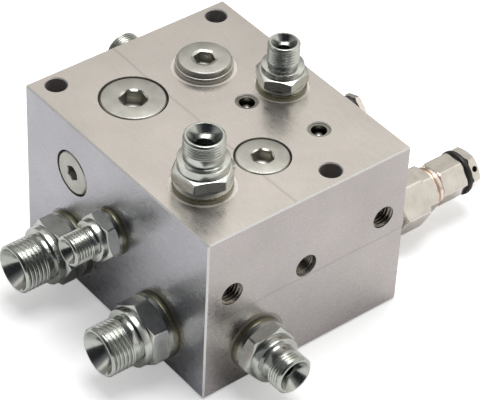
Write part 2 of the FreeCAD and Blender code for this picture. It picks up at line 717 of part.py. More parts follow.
def make_flush_plug(doc, sizes, name, kind, way, spot, guide, spin):
    """Flush plug: head, recess for the soft ring, thread and, over a check valve, a stem guide."""
    depth = kind.socket * sizes.socket_share
    floor = -sizes.head_thick
    end = floor - sizes.plug_screwed
    recess = kind.head - sizes.gasket_rim
    ceiling = floor + sizes.gasket_thick
    outline = [
        (0, 0), (kind.head - sizes.plug_chamfer, 0), (kind.head, -sizes.plug_chamfer),
        (kind.head, floor), (recess, floor), (recess, ceiling), (kind.thread, ceiling),
        (kind.thread, end + 0.8), (kind.thread - 0.8, end),
    ]
    if guide is None:
        outline.append((0, end))
    else:
        roof = -depth - sizes.guide_wall
        outline += [(guide + sizes.slide_play, end), (guide + sizes.slide_play, roof), (0, roof)]
    body = turned(doc, name, outline)
    broach_socket(body, kind.socket, as_size(0), depth)
    place(body, way, spot, spin)
    return body


def make_gasket(doc, sizes, name, kind, way, spot):
    """Soft ring in the recess of a flush head."""
    inner = kind.thread + sizes.thread_play * 2
    outer = kind.head - sizes.gasket_rim - sizes.press_play
    foot = -sizes.head_thick
    top = foot + sizes.gasket_thick
    body = turned(doc, name, [(inner, foot), (outer, foot), (outer, top), (inner, top)])
    place(body, way, spot)
    return body


def make_raised_plug(doc, sizes, kind, spot):
    """Plug whose head stands on a bonded seal."""
    seat = sizes.medium_ring_thick - sizes.spot_depth
    top = seat + sizes.raised_head_thick
    head = sizes.raised_head
    body = turned(doc, "plug_junction", [
        (0, top), (head - sizes.plug_chamfer, top), (head, top - sizes.plug_chamfer), (head, seat),
        (kind.thread, seat), (kind.thread, 0.8 - sizes.plug_screwed),
        (kind.thread - 0.8, -sizes.plug_screwed), (0, -sizes.plug_screwed),
    ])
    broach_socket(body, kind.socket, top, kind.socket * sizes.socket_share)
    place(body, UP, spot, 12.0)
    return body


def make_plugs(doc, sizes, kinds):
    small, medium, large = kinds["small"], kinds["medium"], kinds["large"]
    places = [
        ("rear_check", large, UP, on_top(sizes, sizes.rear_check_x, sizes.rear_lane_y),
         sizes.rear_stem, 20.0),
        ("front_check", medium, UP, on_top(sizes, sizes.gauge_x, sizes.front_lane_y),
         sizes.front_stem, 5.0),
        ("upper_lane", small, LEFT, on_left(sizes, sizes.rear_lane_y, sizes.upper_lane_z), None, 0.0),
    ]
    made = []
    for word, kind, way, spot, guide, spin in places:
        made.append(make_flush_plug(doc, sizes, "plug_" + word, kind, way, spot, guide, spin))
        made.append(make_gasket(doc, sizes, "plug_gasket_" + word, kind, way, spot))
    junction = on_top(sizes, sizes.junction_x, sizes.rear_lane_y)
    made.append(make_raised_plug(doc, sizes, medium, junction))
    foot = -sizes.spot_depth
    made.append(make_ring(doc, sizes, "seal_ring_junction", medium.ring, medium.thread,
                          medium.ring_thick, UP, junction, foot))
    lip = lip_solid(sizes, medium.thread, medium.ring_thick, UP, junction, foot)
    return made, lip


def make_expander(doc, sizes, word, way, spot):
    """Pressed sleeve with a floor, and the ball that spreads it."""
    outer = sizes.expander_radius - sizes.press_play
    top = -sizes.expander_sunk
    foot = top - sizes.expander_length
    floor = foot + sizes.expander_floor
    sleeve = turned(doc, "expander_sleeve_" + word, [
        (0, foot), (outer, foot), (outer, top), (sizes.expander_inner, top),
        (sizes.expander_inner, floor), (0, floor),
    ])
    place(sleeve, way, spot)
    radius = sizes.expander_inner - sizes.press_play
    ball = doc.addObject("Part::Sphere", "expander_ball_" + word)
    ball.Label = "expander_ball_" + word
    bind(ball, "Radius", radius)
    inward = TURNS[way].multVec(FreeCAD.Vector(0, 0, -1))
    depth = -(floor + radius)
    for letter, length, share in zip("xyz", spot, inward):
        bind(ball, ".Placement.Base." + letter, as_size(length) + depth * round(share))
    return [sleeve, ball]


def make_expanders(doc, sizes):
    made = make_expander(doc, sizes, "outlet", UP, on_top(sizes, sizes.junction_x, sizes.middle_lane_y))
    made += make_expander(doc, sizes, "relief", UP, on_top(sizes, sizes.relief_riser_x, sizes.front_lane_y))
    made += make_expander(doc, sizes, "tank", BACK, on_back(sizes, sizes.tank_lane_x, sizes.rear_lane_z))
    return made


def make_spring(doc, name, wire, coil, turns, foot, top):
    """Coil of square wire between the heights foot and top."""
    body = new_body(doc, name)
    sketch = new_sketch(body, name + "_wire", "XZ_Plane")
    inner = coil - wire / 2
    outer = coil + wire / 2
    draw_loop(sketch, [(inner, foot), (outer, foot), (outer, foot + wire), (inner, foot + wire)])
    helix = body.newObject("PartDesign::AdditiveHelix", name + "_coil")
    helix.Profile = sketch
    helix.ReferenceAxis = (sketch, ["V_Axis"])
    helix.Mode = 0
    bind(helix, "Height", top - foot - wire)
    bind(helix, "Pitch", (top - foot - wire) / turns)
    return body


def make_seat(doc, sizes, name, chamber, bore, foot, top):
    """Pressed seat ring with a chamfered bore under its flat land."""
    outer = chamber - sizes.press_play
    return turned(doc, name, [(bore, foot), (outer, foot), (outer, top), (bore, top)])


def make_check(doc, sizes, word, kind, spot, plug_foot):
    """Seat, flat-faced poppet with a nose and a guided stem, and its spring."""
    seat = make_seat(doc, sizes, word + "_check_seat", kind.chamber, kind.seat_bore,
                     kind.seat_foot, kind.seat_top)
    nose = kind.seat_bore - sizes.free_play
    land = kind.seat_top
    back = land + kind.disc_thick
    stem_top = sizes.block_height - kind.stem_below
    poppet = turned(doc, word + "_check_poppet", [
        (0, land - kind.nose), (nose / 2, land - kind.nose), (nose, land - kind.nose / 3), (nose, land),
        (kind.disc, land), (kind.disc, back), (kind.stem, back),
        (kind.stem, stem_top - 0.6), (kind.stem - 0.6, stem_top), (0, stem_top),
    ])
    spring = make_spring(doc, word + "_check_spring", kind.wire, kind.coil, kind.coils,
                         back, plug_foot)
    made = [seat, poppet, spring]
    for body in made:
        place(body, UP, spot)
    return made


def make_checks(doc, sizes):
    plug_foot = sizes.block_height - sizes.head_thick - sizes.plug_screwed
    made = make_check(doc, sizes, "rear", kind_of(sizes, "rear"),
                      (sizes.rear_check_x, sizes.rear_lane_y, 0), plug_foot)
    made += make_check(doc, sizes, "front", kind_of(sizes, "front"),
                       (sizes.gauge_x, sizes.front_lane_y, 0), plug_foot)
    return made


def make_relief_body(doc, sizes, kind):
    seat = sizes.medium_ring_thick
    inner_end = sizes.relief_hex_top - sizes.relief_end_wall
    tapped = sizes.adjust_radius + sizes.thread_play
    outline = [
        (kind.guide, -kind.screwed), (kind.thread - 0.8, -kind.screwed),
        (kind.thread, 0.8 - kind.screwed), (kind.thread, seat), (kind.collar, seat),
        (kind.collar, kind.collar_top), (kind.barrel, kind.collar_top), (kind.barrel, kind.hex_foot),
    ]
    outline += hex_outline(kind.flats, kind.hex_round, kind.hex_round, kind.hex_foot, kind.hex_top)
    outline += [(tapped, kind.hex_top), (tapped, inner_end), (kind.guide, inner_end)]
    body = turned(doc, "relief_body", outline)
    mill_hexagon(body, kind.flats, kind.hex_foot, kind.hex_top)
    return body


def make_relief_inside(doc, sizes, kind):
    guided = kind.guide - sizes.slide_play
    nose = kind.seat_bore - sizes.free_play
    land = kind.seat_land
    seat = make_seat(doc, sizes, "relief_seat", kind.chamber, kind.seat_bore,
                     land - kind.seat_thick, land)
    poppet = turned(doc, "relief_poppet", [
        (0, land - kind.nose), (nose / 2, land - kind.nose), (nose, land - kind.nose / 3), (nose, land),
        (kind.disc, land), (kind.disc, land + kind.disc_thick), (kind.stem, land + kind.disc_thick),
        (kind.stem, kind.piston_foot), (guided, kind.piston_foot), (guided, kind.piston_top),
        (0, kind.piston_top),
    ])
    spring = make_spring(doc, "relief_spring", kind.wire, kind.coil, kind.coils,
                         kind.piston_top, kind.spring_top)
    plate_top = kind.spring_top + kind.plate_thick
    plate = turned(doc, "relief_spring_plate", [
        (0, kind.spring_top - 2.5), (kind.stem, kind.spring_top - 2.5), (kind.stem, kind.spring_top),
        (guided, kind.spring_top), (guided, plate_top), (0, plate_top),
    ])
    screw_radius = sizes.adjust_radius
    screw = turned(doc, "relief_adjusting_screw", [
        (0, plate_top), (screw_radius - 0.8, plate_top), (screw_radius, plate_top + 0.8),
        (screw_radius, sizes.adjust_top - 0.8), (screw_radius - 0.8, sizes.adjust_top),
        (0, sizes.adjust_top),
    ])
    broach_socket(screw, sizes.adjust_socket, sizes.adjust_top, sizes.adjust_socket)
    return [seat, poppet, spring, plate, screw]


def make_relief_outside(doc, sizes, kind):
    tapped = sizes.adjust_radius + sizes.thread_play
    boss = sizes.nut_top - sizes.lock_boss
    outline = hex_outline(sizes.lock_flats, sizes.lock_round, sizes.lock_round, kind.hex_top, boss)
    outline += [(sizes.lock_round, sizes.nut_top), (tapped, sizes.nut_top), (tapped, kind.hex_top)]
    nut = turned(doc, "relief_lock_nut", outline)
    mill_hexagon(nut, sizes.lock_flats, kind.hex_top, boss)

    washer_top = sizes.nut_top + sizes.washer_thick
    washer = turned(doc, "relief_copper_washer", [
        (tapped, sizes.nut_top), (sizes.washer_radius, sizes.nut_top),
        (sizes.washer_radius, washer_top), (tapped, washer_top),
    ])

    flats = sizes.nut_flats
    cap_foot = washer_top + sizes.cap_boss
    shank = sizes.closing_shank + sizes.thread_play
    outline = [(tapped, washer_top), (sizes.nut_round, washer_top)]
    outline += hex_outline(flats, sizes.nut_round, sizes.nut_round, cap_foot, sizes.cap_top)
    outline += [(shank, sizes.cap_top), (shank, sizes.cap_room_top), (tapped, sizes.cap_room_top)]
    cap = turned(doc, "relief_cap_nut", outline)
    mill_hexagon(cap, flats, cap_foot, sizes.cap_top)

    head = sizes.cap_top + sizes.cap_ring_thick
    edge = sizes.cap_ring_edge
    ring = turned(doc, "relief_cap_ring", [
        (shank, sizes.cap_top), (sizes.cap_ring_radius - edge, sizes.cap_top),
        (sizes.cap_ring_radius, sizes.cap_top + edge), (sizes.cap_ring_radius, head - edge),
        (sizes.cap_ring_radius - edge, head), (shank, head),
    ])
    return [nut, washer, cap, ring]


def make_closing_screw(doc, sizes, head):
    """Domed hexagon screw that closes the cap, with a hole across it for a seal wire."""
    flats = sizes.nut_flats
    outline = [(0, sizes.closing_shank_end), (sizes.closing_shank, sizes.closing_shank_end),
               (sizes.closing_shank, head)]
    outline += hex_outline(flats, sizes.nut_round, sizes.nut_round, head, sizes.closing_hex_top)
    outline += [(sizes.closing_top_radius, sizes.closing_top), (0, sizes.closing_top)]
    screw = turned(doc, "relief_closing_screw", outline)
    mill_hexagon(screw, flats, head, sizes.closing_hex_top)
    sketch = new_sketch(screw, "wire_hole_circle", "XZ_Plane")
    bind(sketch, ".AttachmentOffset.Base.y", sizes.wire_hole_at)
    draw_circle(sketch, sizes.wire_hole)
    hole = screw.newObject("PartDesign::Pocket", "wire_hole_drilled")
    hole.Profile = sketch
    hole.Midplane = True
    bind(hole, "Length", flats * 2)
    return screw


def make_relief(doc, sizes):
    """The relief valve, built along Z and then laid along X on the right face."""
    kind = kind_of(sizes, "relief")
    spot = on_right(sizes, sizes.front_lane_y, sizes.front_lane_z)
    made = [make_relief_body(doc, sizes, kind)]
    made += make_relief_inside(doc, sizes, kind)
    made += make_relief_outside(doc, sizes, kind)
    for body in made:
        place(body, RIGHT, spot, 25.0)
    closing = make_closing_screw(doc, sizes, sizes.cap_top + sizes.cap_ring_thick)
    place(closing, RIGHT, spot, -35.0)
    made.append(closing)
    made.append(make_ring(doc, sizes, "seal_ring_relief", kind.ring, kind.thread,
                          sizes.medium_ring_thick, RIGHT, spot, as_size(0)))
    lip = lip_solid(sizes, kind.thread, sizes.medium_ring_thick, RIGHT, spot, as_size(0))
    return made, lip


def make_throttle(doc, sizes, medium):
    """Throttle body, needle that doesn't turn, and the screwed spindle behind it."""
    kind = kind_of(sizes, "throttle")
    spot = on_right(sizes, sizes.rear_lane_y, sizes.rear_lane_z)
    seat = medium.ring_thick
    guide = kind.guide
    bore = guide + sizes.slide_play
    outline = [
        (bore, -kind.screwed), (medium.thread - 0.8, -kind.screwed), (medium.thread, 0.8 - kind.screwed),
        (medium.thread, seat),
    ]
    outline += hex_outline(medium.flats, medium.hex_round, medium.hex_round, seat, kind.hex_top)
    outline += [
        (kind.barrel, kind.hex_top), (kind.barrel, kind.barrel_top), (kind.neck, kind.barrel_top),
        (kind.neck, kind.neck_top), (bore, kind.neck_top),
    ]
    body = turned(doc, "throttle_body", outline)
    mill_hexagon(body, medium.flats, seat, kind.hex_top)

    nose = sizes.lane_radius - sizes.free_play
    land = kind.land
    needle = turned(doc, "throttle_needle", [
        (0, land - kind.nose), (nose / 2, land - kind.nose), (nose, land - kind.nose / 4), (nose, land),
        (kind.disc, land), (kind.disc, land + kind.disc_thick), (guide, land + kind.disc_thick),
        (guide, kind.split), (0, kind.split),
    ])
    wiper_top = kind.neck_top + sizes.wiper_thick
    flats = sizes.spindle_flats
    wiper = turned(doc, "throttle_wiper", [
        (bore, kind.neck_top), (sizes.wiper_radius, kind.neck_top),
        (sizes.wiper_radius, wiper_top), (bore, wiper_top),
    ])
    outline = [(0, kind.split), (guide, kind.split), (guide, wiper_top)]
    outline += hex_outline(flats, sizes.spindle_round, sizes.spindle_round, wiper_top, sizes.spindle_top)
    outline.append((0, sizes.spindle_top))
    spindle = turned(doc, "throttle_spindle", outline)
    mill_hexagon(spindle, flats, wiper_top, sizes.spindle_top)
    made = [body, needle, spindle, wiper]
    for solid in made:
        place(solid, RIGHT, spot, 11.0)
    made.append(make_ring(doc, sizes, "seal_ring_throttle", medium.ring, medium.thread,
                          medium.ring_thick, RIGHT, spot, as_size(0)))
    lip = lip_solid(sizes, medium.thread, medium.ring_thick, RIGHT, spot, as_size(0))
    return made, lip


def check_all(doc):
    """Stop if an object failed, before anything is written."""
    for thing in doc.Objects:
        if "Invalid" in thing.State or "Error" in thing.State:
            raise RuntimeError("%s did not build" % thing.Name)
        if isinstance(thing, Part.Feature) and not thing.isDerivedFrom("Sketcher::SketchObject"):
            if thing.Shape.isNull() or not thing.Shape.isValid():
                raise RuntimeError("%s has a bad shape" % thing.Name)


def write_all(doc, parts):
    os.makedirs("parts", exist_ok=True)
    for part in parts:
        part.Shape.exportStep("parts/%s.step" % part.Label)


def main():
    doc = FreeCAD.newDocument("ManifoldBlock")
    sizes = make_sheet(doc)
    kinds = {word: kind_of(sizes, word) for word in ("small", "medium", "large")}
    parts = [make_block(doc, sizes, kinds)]
    adapters, lips = make_adapters(doc, sizes, kinds)
    plugs, plug_lip = make_plugs(doc, sizes, kinds)
    relief, relief_lip = make_relief(doc, sizes)
    throttle, throttle_lip = make_throttle(doc, sizes, kinds["medium"])
    lips["medium"] += [plug_lip, throttle_lip]
    parts += adapters + plugs + relief + throttle
    parts += make_expanders(doc, sizes)
    parts += make_checks(doc, sizes)
    for word, solids in lips.items():
        parts.append(make_lips(doc, "seal_lips_" + word, solids))
    parts.append(make_lips(doc, "seal_lip_relief", [relief_lip]))
    doc.recompute()
    check_all(doc)
    write_all(doc, parts)


main()
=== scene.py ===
import json
import math

import bmesh
import bpy
import numpy as np
from mathutils import Matrix, Vector


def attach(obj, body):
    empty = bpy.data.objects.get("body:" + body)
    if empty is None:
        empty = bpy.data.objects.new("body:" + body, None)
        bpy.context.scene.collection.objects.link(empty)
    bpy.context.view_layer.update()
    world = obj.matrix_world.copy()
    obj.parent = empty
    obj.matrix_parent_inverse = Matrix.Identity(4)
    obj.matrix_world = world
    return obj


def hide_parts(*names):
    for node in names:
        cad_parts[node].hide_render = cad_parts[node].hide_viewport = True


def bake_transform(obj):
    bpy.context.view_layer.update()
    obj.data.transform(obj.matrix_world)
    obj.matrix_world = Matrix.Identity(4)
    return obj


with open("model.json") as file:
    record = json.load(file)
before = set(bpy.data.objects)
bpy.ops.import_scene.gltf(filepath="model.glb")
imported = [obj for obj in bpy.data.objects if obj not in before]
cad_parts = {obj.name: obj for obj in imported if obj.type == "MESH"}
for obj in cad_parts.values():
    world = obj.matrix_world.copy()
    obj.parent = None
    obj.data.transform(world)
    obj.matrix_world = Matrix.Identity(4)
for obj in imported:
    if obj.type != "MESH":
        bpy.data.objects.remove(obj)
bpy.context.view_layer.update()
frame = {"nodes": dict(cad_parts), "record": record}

# A ported steel block with two non-return valves, a relief valve and a throttle. Lengths in the code
# are millimetres in the frame of the part, and are turned to metres where a mesh is made.

MM = 0.001
NODES = frame["nodes"]

# how finely round surfaces are divided
COLUMNS_PER_FLAT = 32
ROWS_PER_PITCH = 20
WIRE_SIDES = 10
STEPS_PER_COIL = 36
CORNER_POWER = 90.0    # the higher, the sharper the corners of a hexagon

# the block's faces, and the axes that several pieces share
TOP_FACE, SIDE_FACE, END_FACE = 80.0, 50.0, 60.0
FRONT_LANE_Y, FRONT_LANE_Z = -30.4, 18.5
REAR_LANE_Y, REAR_LANE_Z = 28.0, 19.2
REAR_CHECK_X, FRONT_CHECK_X, JUNCTION_X = -20.0, -0.8, 15.5
SPOT_DEPTH = 0.2    # of the spot faces round the ports
RING_PLAY = 1.55    # between a thread and the steel ring of its seal

# metals: size of the patches of colour, swing of the roughness, reach of the painted shade in corners,
# in metres, strength of the turning marks and how many of them fill a metre
PATCH_MM = 9.0
GLOSS_SWING = 0.06
CORNER_REACH = 0.004
TURNING_SPREAD = 0.6
TURNING_MARKS = 2500.0

# the seams on the block's top and front, in metres
SEAM_X, SEAM_Z = -0.0075, 0.039

# the photograph's camera: degrees, metres, and the focal length in pixels of the picture
AZIMUTH, ELEVATION, ROLL = -40.03, 40.47, 2.78
AIM = (0.03633, 0.02584, 0.0)
DISTANCE = 1.0103
FOCAL_PIXELS = 2345.35
PICTURE_WIDTH = 481.0
SENSOR_MM = 36.0


# Colours and node trees

def linear(code):
    """Linear colour from an sRGB hex code."""
    parts = [int(code[index:index + 2], 16) / 255.0 for index in (0, 2, 4)]
    return tuple(part / 12.92 if part <= 0.04045 else ((part + 0.055) / 1.055) ** 2.4
                 for part in parts) + (1.0,)


def add(tree, kind, inputs=None, **settings):
    """One node with its settings; inputs maps a socket to a value or to another node's output."""
    node = tree.nodes.new(kind)
    for name, value in settings.items():
        setattr(node, name, value)
    for socket, value in (inputs or {}).items():
        if isinstance(value, bpy.types.NodeSocket):
            tree.links.new(value, node.inputs[socket])
        else:
            node.inputs[socket].default_value = value
    return node


def new_material(name):
    """An empty material and its node tree."""
    material = bpy.data.materials.new(name)
    material.use_nodes = True
    tree = material.node_tree
    tree.nodes.clear()
    return material, tree


def finish_material(tree, shader):
    """Lead the shader to the material's output."""
    out = tree.nodes.new("ShaderNodeOutputMaterial")
    tree.links.new(shader.outputs[0], out.inputs["Surface"])


def ramp(tree, factor, stops):
    """A colour ramp with (place, grey or colour) stops."""
    node = add(tree, "ShaderNodeValToRGB", {"Fac": factor})
    marks = node.color_ramp.elements
    while len(marks) < len(stops):
        marks.new(0.5)
    for mark, (place, colour) in zip(marks, stops):
        mark.position = place
        mark.color = colour if isinstance(colour, tuple) else (colour, colour, colour, 1.0)
    return node.outputs["Color"]


def metal(name, colour, dark, rough, grain_mm, bump=0.0, lathe=None, shade_colour="BDBDBA"):
    """A metal whose colour drifts between two tones in patches and whose gloss follows a fine grain.

    grain_mm is the size of the grain. lathe is the axis of the turning marks, which spread a reflection
    along the axis. The last argument is the colour of the painted shade in corners and in sockets.
    """
    material, tree = new_material(name)
    place = add(tree, "ShaderNodeTexCoord").outputs["Object"]
    patches = add(tree, "ShaderNodeTexNoise",
                  {"Vector": place, "Scale": 1000.0 / PATCH_MM, "Detail": 3.0, "Roughness": 0.6})
    tone = ramp(tree, patches.outputs["Fac"], [(0.35, linear(dark)), (0.65, linear(colour))])
    # painted shade: where ambient occlusion finds a corner or a socket, the colour is darkened towards
    # the shade colour
    open_share = add(tree, "ShaderNodeAmbientOcclusion", {"Distance": CORNER_REACH},
                     samples=4).outputs["AO"]
    painted_corner_shade = ramp(tree, open_share, [(0.1, linear(shade_colour)), (0.6, linear("FFFFFF"))])
    tone = add(tree, "ShaderNodeMix", {"Factor": 1.0, "A": tone, "B": painted_corner_shade}, data_type="RGBA",
               blend_type="MULTIPLY").outputs["Result"]
    grain = add(tree, "ShaderNodeTexNoise",
                {"Vector": place, "Scale": 1000.0 / grain_mm, "Detail": 2.0})
    gloss = ramp(tree, grain.outputs["Fac"], [(0.3, rough - GLOSS_SWING), (0.7, rough + GLOSS_SWING)])
    shader = add(tree, "ShaderNodeBsdfPrincipled",
                 {"Base Color": tone, "Roughness": gloss, "Metallic": 1.0})
    if lathe:
        marks = add(tree, "ShaderNodeTangent", direction_type="RADIAL", axis=lathe)
        tree.links.new(marks.outputs[0], shader.inputs["Tangent"])
        shader.inputs["Anisotropic"].default_value = TURNING_SPREAD
        pitches = tuple(TURNING_MARKS if axis == lathe else 0.0 for axis in "XYZ")
        laid = add(tree, "ShaderNodeMapping", {"Vector": place, "Scale": pitches})
        grain = add(tree, "ShaderNodeTexNoise",
                    {"Vector": laid.outputs[0], "Scale": 1.0, "Detail": 2.0})
    if bump:
        lift = add(tree, "ShaderNodeBump",
                   {"Height": grain.outputs["Fac"], "Strength": bump, "Distance": 0.0002})
        tree.links.new(lift.outputs[0], shader.inputs["Normal"])
    finish_material(tree, shader)
    return material


def rubber(name, colour):
    """Moulded nitrile rubber: black, a dull sheen, with a faint bloom in patches."""
    material, tree = new_material(name)
    place = add(tree, "ShaderNodeTexCoord").outputs["Object"]
    bloom = add(tree, "ShaderNodeTexNoise", {"Vector": place, "Scale": 250.0, "Detail": 4.0})
    tone = ramp(tree, bloom.outputs["Fac"], [(0.4, linear(colour)), (0.8, linear("2B2A28"))])
    gloss = ramp(tree, bloom.outputs["Fac"], [(0.3, 0.38), (0.7, 0.55)])
    shader = add(tree, "ShaderNodeBsdfPrincipled", {"Base Color": tone, "Roughness": gloss})
    finish_material(tree, shader)
    return material


def milled_block(name):
    """Milled bright steel: satin, warm grey, with faint cutter lines and one seam on the top face and
    one on the front face, where two passes of the cutter meet."""
    material, tree = new_material(name)
    place = add(tree, "ShaderNodeTexCoord").outputs["Object"]
    facing = add(tree, "ShaderNodeNewGeometry").outputs["Normal"]
    at = add(tree, "ShaderNodeSeparateXYZ", {"Vector": place})
    way = add(tree, "ShaderNodeSeparateXYZ", {"Vector": facing})

    def calc(operation, first, second=0.0):
        return add(tree, "ShaderNodeMath", {0: first, 1: second}, operation=operation).outputs[0]

    def beyond(axis, limit):
        """One where the point is farther out along the axis than the limit, in millimetres."""
        return calc("GREATER_THAN", calc("ABSOLUTE", at.outputs[axis]), limit * MM)

    top = calc("GREATER_THAN", way.outputs["Z"], 0.9)
    front = calc("LESS_THAN", way.outputs["Y"], -0.9)
    left = calc("LESS_THAN", way.outputs["X"], -0.9)

    cloud = add(tree, "ShaderNodeTexNoise", {"Vector": place, "Scale": 28.0, "Detail": 4.0,
                                             "Roughness": 0.55})
    tone = ramp(tree, cloud.outputs["Fac"], [(0.3, linear("BBB8B5")), (0.7, linear("C7C4C1"))])
    # painted light and shade: by the way each face points, the top is painted a little warmer and
    # brighter than the sides, the left side cooler and the front a little darker and pinker
    for part, painted_light_tint in ((top, (1.19, 1.155, 1.12, 1.0)), (left, (0.91, 0.93, 1.03, 1.0)),
                       (front, (0.95, 0.91, 0.92, 1.0))):
        tone = add(tree, "ShaderNodeMix", {"Factor": part, "A": tone, "B": painted_light_tint}, data_type="RGBA",
                   blend_type="MULTIPLY").outputs["Result"]

    # the seam on the top runs along Y, the one on the front along X, and both wander a little
    wander = calc("MULTIPLY", calc("SUBTRACT", cloud.outputs["Fac"], 0.5), 0.003)
    top_gap = calc("ABSOLUTE", calc("ADD", calc("SUBTRACT", at.outputs["X"], SEAM_X), wander))
    front_gap = calc("ABSOLUTE", calc("ADD", calc("SUBTRACT", at.outputs["Z"], SEAM_Z), wander))
    top_line = calc("MULTIPLY", calc("LESS_THAN", top_gap, 0.0006), top)
    front_line = calc("MULTIPLY", calc("LESS_THAN", front_gap, 0.0005), front)
    seam = calc("ADD", top_line, front_line)
    seam_dark = add(tree, "ShaderNodeMix", {"Factor": calc("MULTIPLY", seam, 0.25), "A": tone,
                                            "B": linear("8F8A86")}, data_type="RGBA")

    # painted highlight: the broken edges of the block are painted nearly white, and the walls of its
    # holes are dull and darker
    faces = (("X", SIDE_FACE), ("Y", END_FACE), ("Z", TOP_FACE))
    on_side, on_end, on_top = [beyond(axis, limit - 0.1) for axis, limit in faces]
    skin = calc("MAXIMUM", calc("MAXIMUM", on_side, on_end), on_top)
    by_side, by_end, by_top = [beyond(axis, limit - 0.6) for axis, limit in faces]
    near = calc("ADD", calc("ADD", by_side, by_end), by_top)
    edge = calc("GREATER_THAN", near, 1.5)
    edge_highlight = calc("MULTIPLY", edge, 0.55)
    bright = add(tree, "ShaderNodeMix", {"Factor": edge_highlight, "A": seam_dark.outputs["Result"],
                                         "B": linear("FFFFFF")}, data_type="RGBA")

    lines = add(tree, "ShaderNodeMapping", {"Vector": place, "Scale": (500.0, 180.0, 500.0)})
    cutter = add(tree, "ShaderNodeTexNoise", {"Vector": lines.outputs[0], "Scale": 1.0, "Detail": 3.0})
    gloss = ramp(tree, cutter.outputs["Fac"], [(0.3, 0.26), (0.7, 0.30)])
    gloss = calc("ADD", gloss, calc("MULTIPLY", calc("SUBTRACT", 1.0, skin), 0.3))
    lift = add(tree, "ShaderNodeBump", {"Height": cutter.outputs["Fac"], "Strength": 0.01,
                                        "Distance": 0.0001})
    shader = add(tree, "ShaderNodeBsdfPrincipled",
                 {"Base Color": bright.outputs["Result"], "Roughness": gloss, "Metallic": 1.0,
                  "Normal": lift.outputs[0]})
    finish_material(tree, shader)
    return material


# Surfaces from arrays

def angles():
    """Column angles round an axis, closer together near the corners of a hexagon.

    Within each sixth of a turn the angle is u minus 0.6 times sin(2 pi u) over 2 pi, u even in 0 to 1.
    """
    even = np.arange(6 * COLUMNS_PER_FLAT) / COLUMNS_PER_FLAT
    sector = np.floor(even)
    part = even - sector
    return (sector + part - 0.6 * np.sin(2 * np.pi * part) / (2 * np.pi)) * np.pi / 3


ANGLES = angles()


def hexagon_radius(flats):
    """Radius of a hexagon at each column angle: half the flats over the p-norm, p being CORNER_POWER,
    of the six cosines between the direction and the flats. A corner is at angle 0."""
    normals = (np.arange(6) + 0.5) * np.pi / 3
    reach = np.maximum(np.cos(ANGLES[None, :] - normals[:, None]), 0.0)
    return flats / 2 / (reach ** CORNER_POWER).sum(axis=0) ** (1.0 / CORNER_POWER)


def soften(points, size):
    """Replace each inner corner of a (radius, height) line with three points of a quadratic curve that
    starts and ends at most size from the corner."""
    points = [np.array(point, float) for point in points]
    out = [points[0]]
    for before, corner, after in zip(points, points[1:], points[2:]):
        back = before - corner
        on = after - corner
        start = corner + back * min(size, np.linalg.norm(back) * 0.4) / max(np.linalg.norm(back), 1e-9)
        end = corner + on * min(size, np.linalg.norm(on) * 0.4) / max(np.linalg.norm(on), 1e-9)
        out += [start, (start + 2 * corner + end) / 4, end]
    out.append(points[-1])
    return out


def turned(points, size=0.2):
    """Rows of a turned surface with softened corners: each row is a radius and a height at every
    column angle."""
    flat = np.ones_like(ANGLES)
    return [(radius * flat, height * flat) for radius, height in soften(points, size)]


def hexagon_rows(flats, round_radius, foot_radius, foot, top):
    """Rows of a hexagon whose corners are cut by 30 degree cones: each flat's edge is where the cone
    of slope tan 30 reaches the hexagon's radius. The last row is the rim of the flat end."""
    slope = math.tan(math.radians(30.0))
    across = hexagon_radius(flats)
    low = foot + np.maximum(across - foot_radius, 0.0) * slope
    high = top - np.maximum(across - round_radius, 0.0) * slope
    rows = []
    for share in (0.0, 0.02, 0.5, 0.98, 1.0):
        rows.append((across, low + (high - low) * share))
    rows.append((np.minimum(across, round_radius), np.full_like(across, top)))
    return rows


def thread_rows(radius, depth, pitch, start, end):
    """Rows of a thread: radius less depth times half of one minus the cosine of the phase, where the
    phase is height over pitch less the angle over a turn. It fades in and out over half a pitch."""
    count = max(int((end - start) / pitch * ROWS_PER_PITCH), 4)
    heights = np.linspace(start, end, count)
    fade = np.clip(np.minimum(heights - start, end - heights) / (0.5 * pitch), 0.0, 1.0)
    rows = []
    for height, share in zip(heights, fade):
        phase = 2 * np.pi * height / pitch - ANGLES
        cut = depth * share * (0.5 - 0.5 * np.cos(phase))
        rows.append((radius - cut, np.full_like(ANGLES, height)))
    return rows


def socket_rows(flats, mouth, top, floor):
    """Rows of a hexagon socket: a turned lead-in cone, the six walls, and a drilled centre."""
    across = hexagon_radius(flats)
    lead = (across.max() - flats / 2) * 0.6
    flat = np.ones_like(ANGLES)
    return [(mouth * flat, top * flat), (across * 1.01, (top - lead) * flat),
            (across, (top - lead - 0.1) * flat), (across, floor * flat),
            (flats * 0.30 * flat, (floor - 0.1) * flat), (0.0 * flat, (floor - flats * 0.15) * flat)]


# the turn from up to each way, as the rows of a matrix
TURNS = {
    "up": ((1, 0, 0), (0, 1, 0), (0, 0, 1)),
    "left": ((0, 0, -1), (0, 1, 0), (1, 0, 0)),
    "right": ((0, 0, 1), (0, 1, 0), (-1, 0, 0)),
    "front": ((1, 0, 0), (0, 0, -1), (0, 1, 0)),
    "back": ((1, 0, 0), (0, 0, 1), (0, -1, 0)),
}


def placed(local, way, spot):
    """Turn points from up to the given way, move them to spot and turn millimetres to metres."""
    return (local @ np.array(TURNS[way], float).T + np.array(spot, float)) * MM


def new_piece(name, points, faces, material):
    """An object at the origin with the mesh of those points and faces."""
    mesh = bpy.data.meshes.new(name)
    mesh.from_pydata(points.reshape(-1, 3).tolist(), [], faces)
    tidy_mesh(mesh)
    mesh.materials.append(material)
    piece = bpy.data.objects.new(name, mesh)
    bpy.context.collection.objects.link(piece)
    return piece


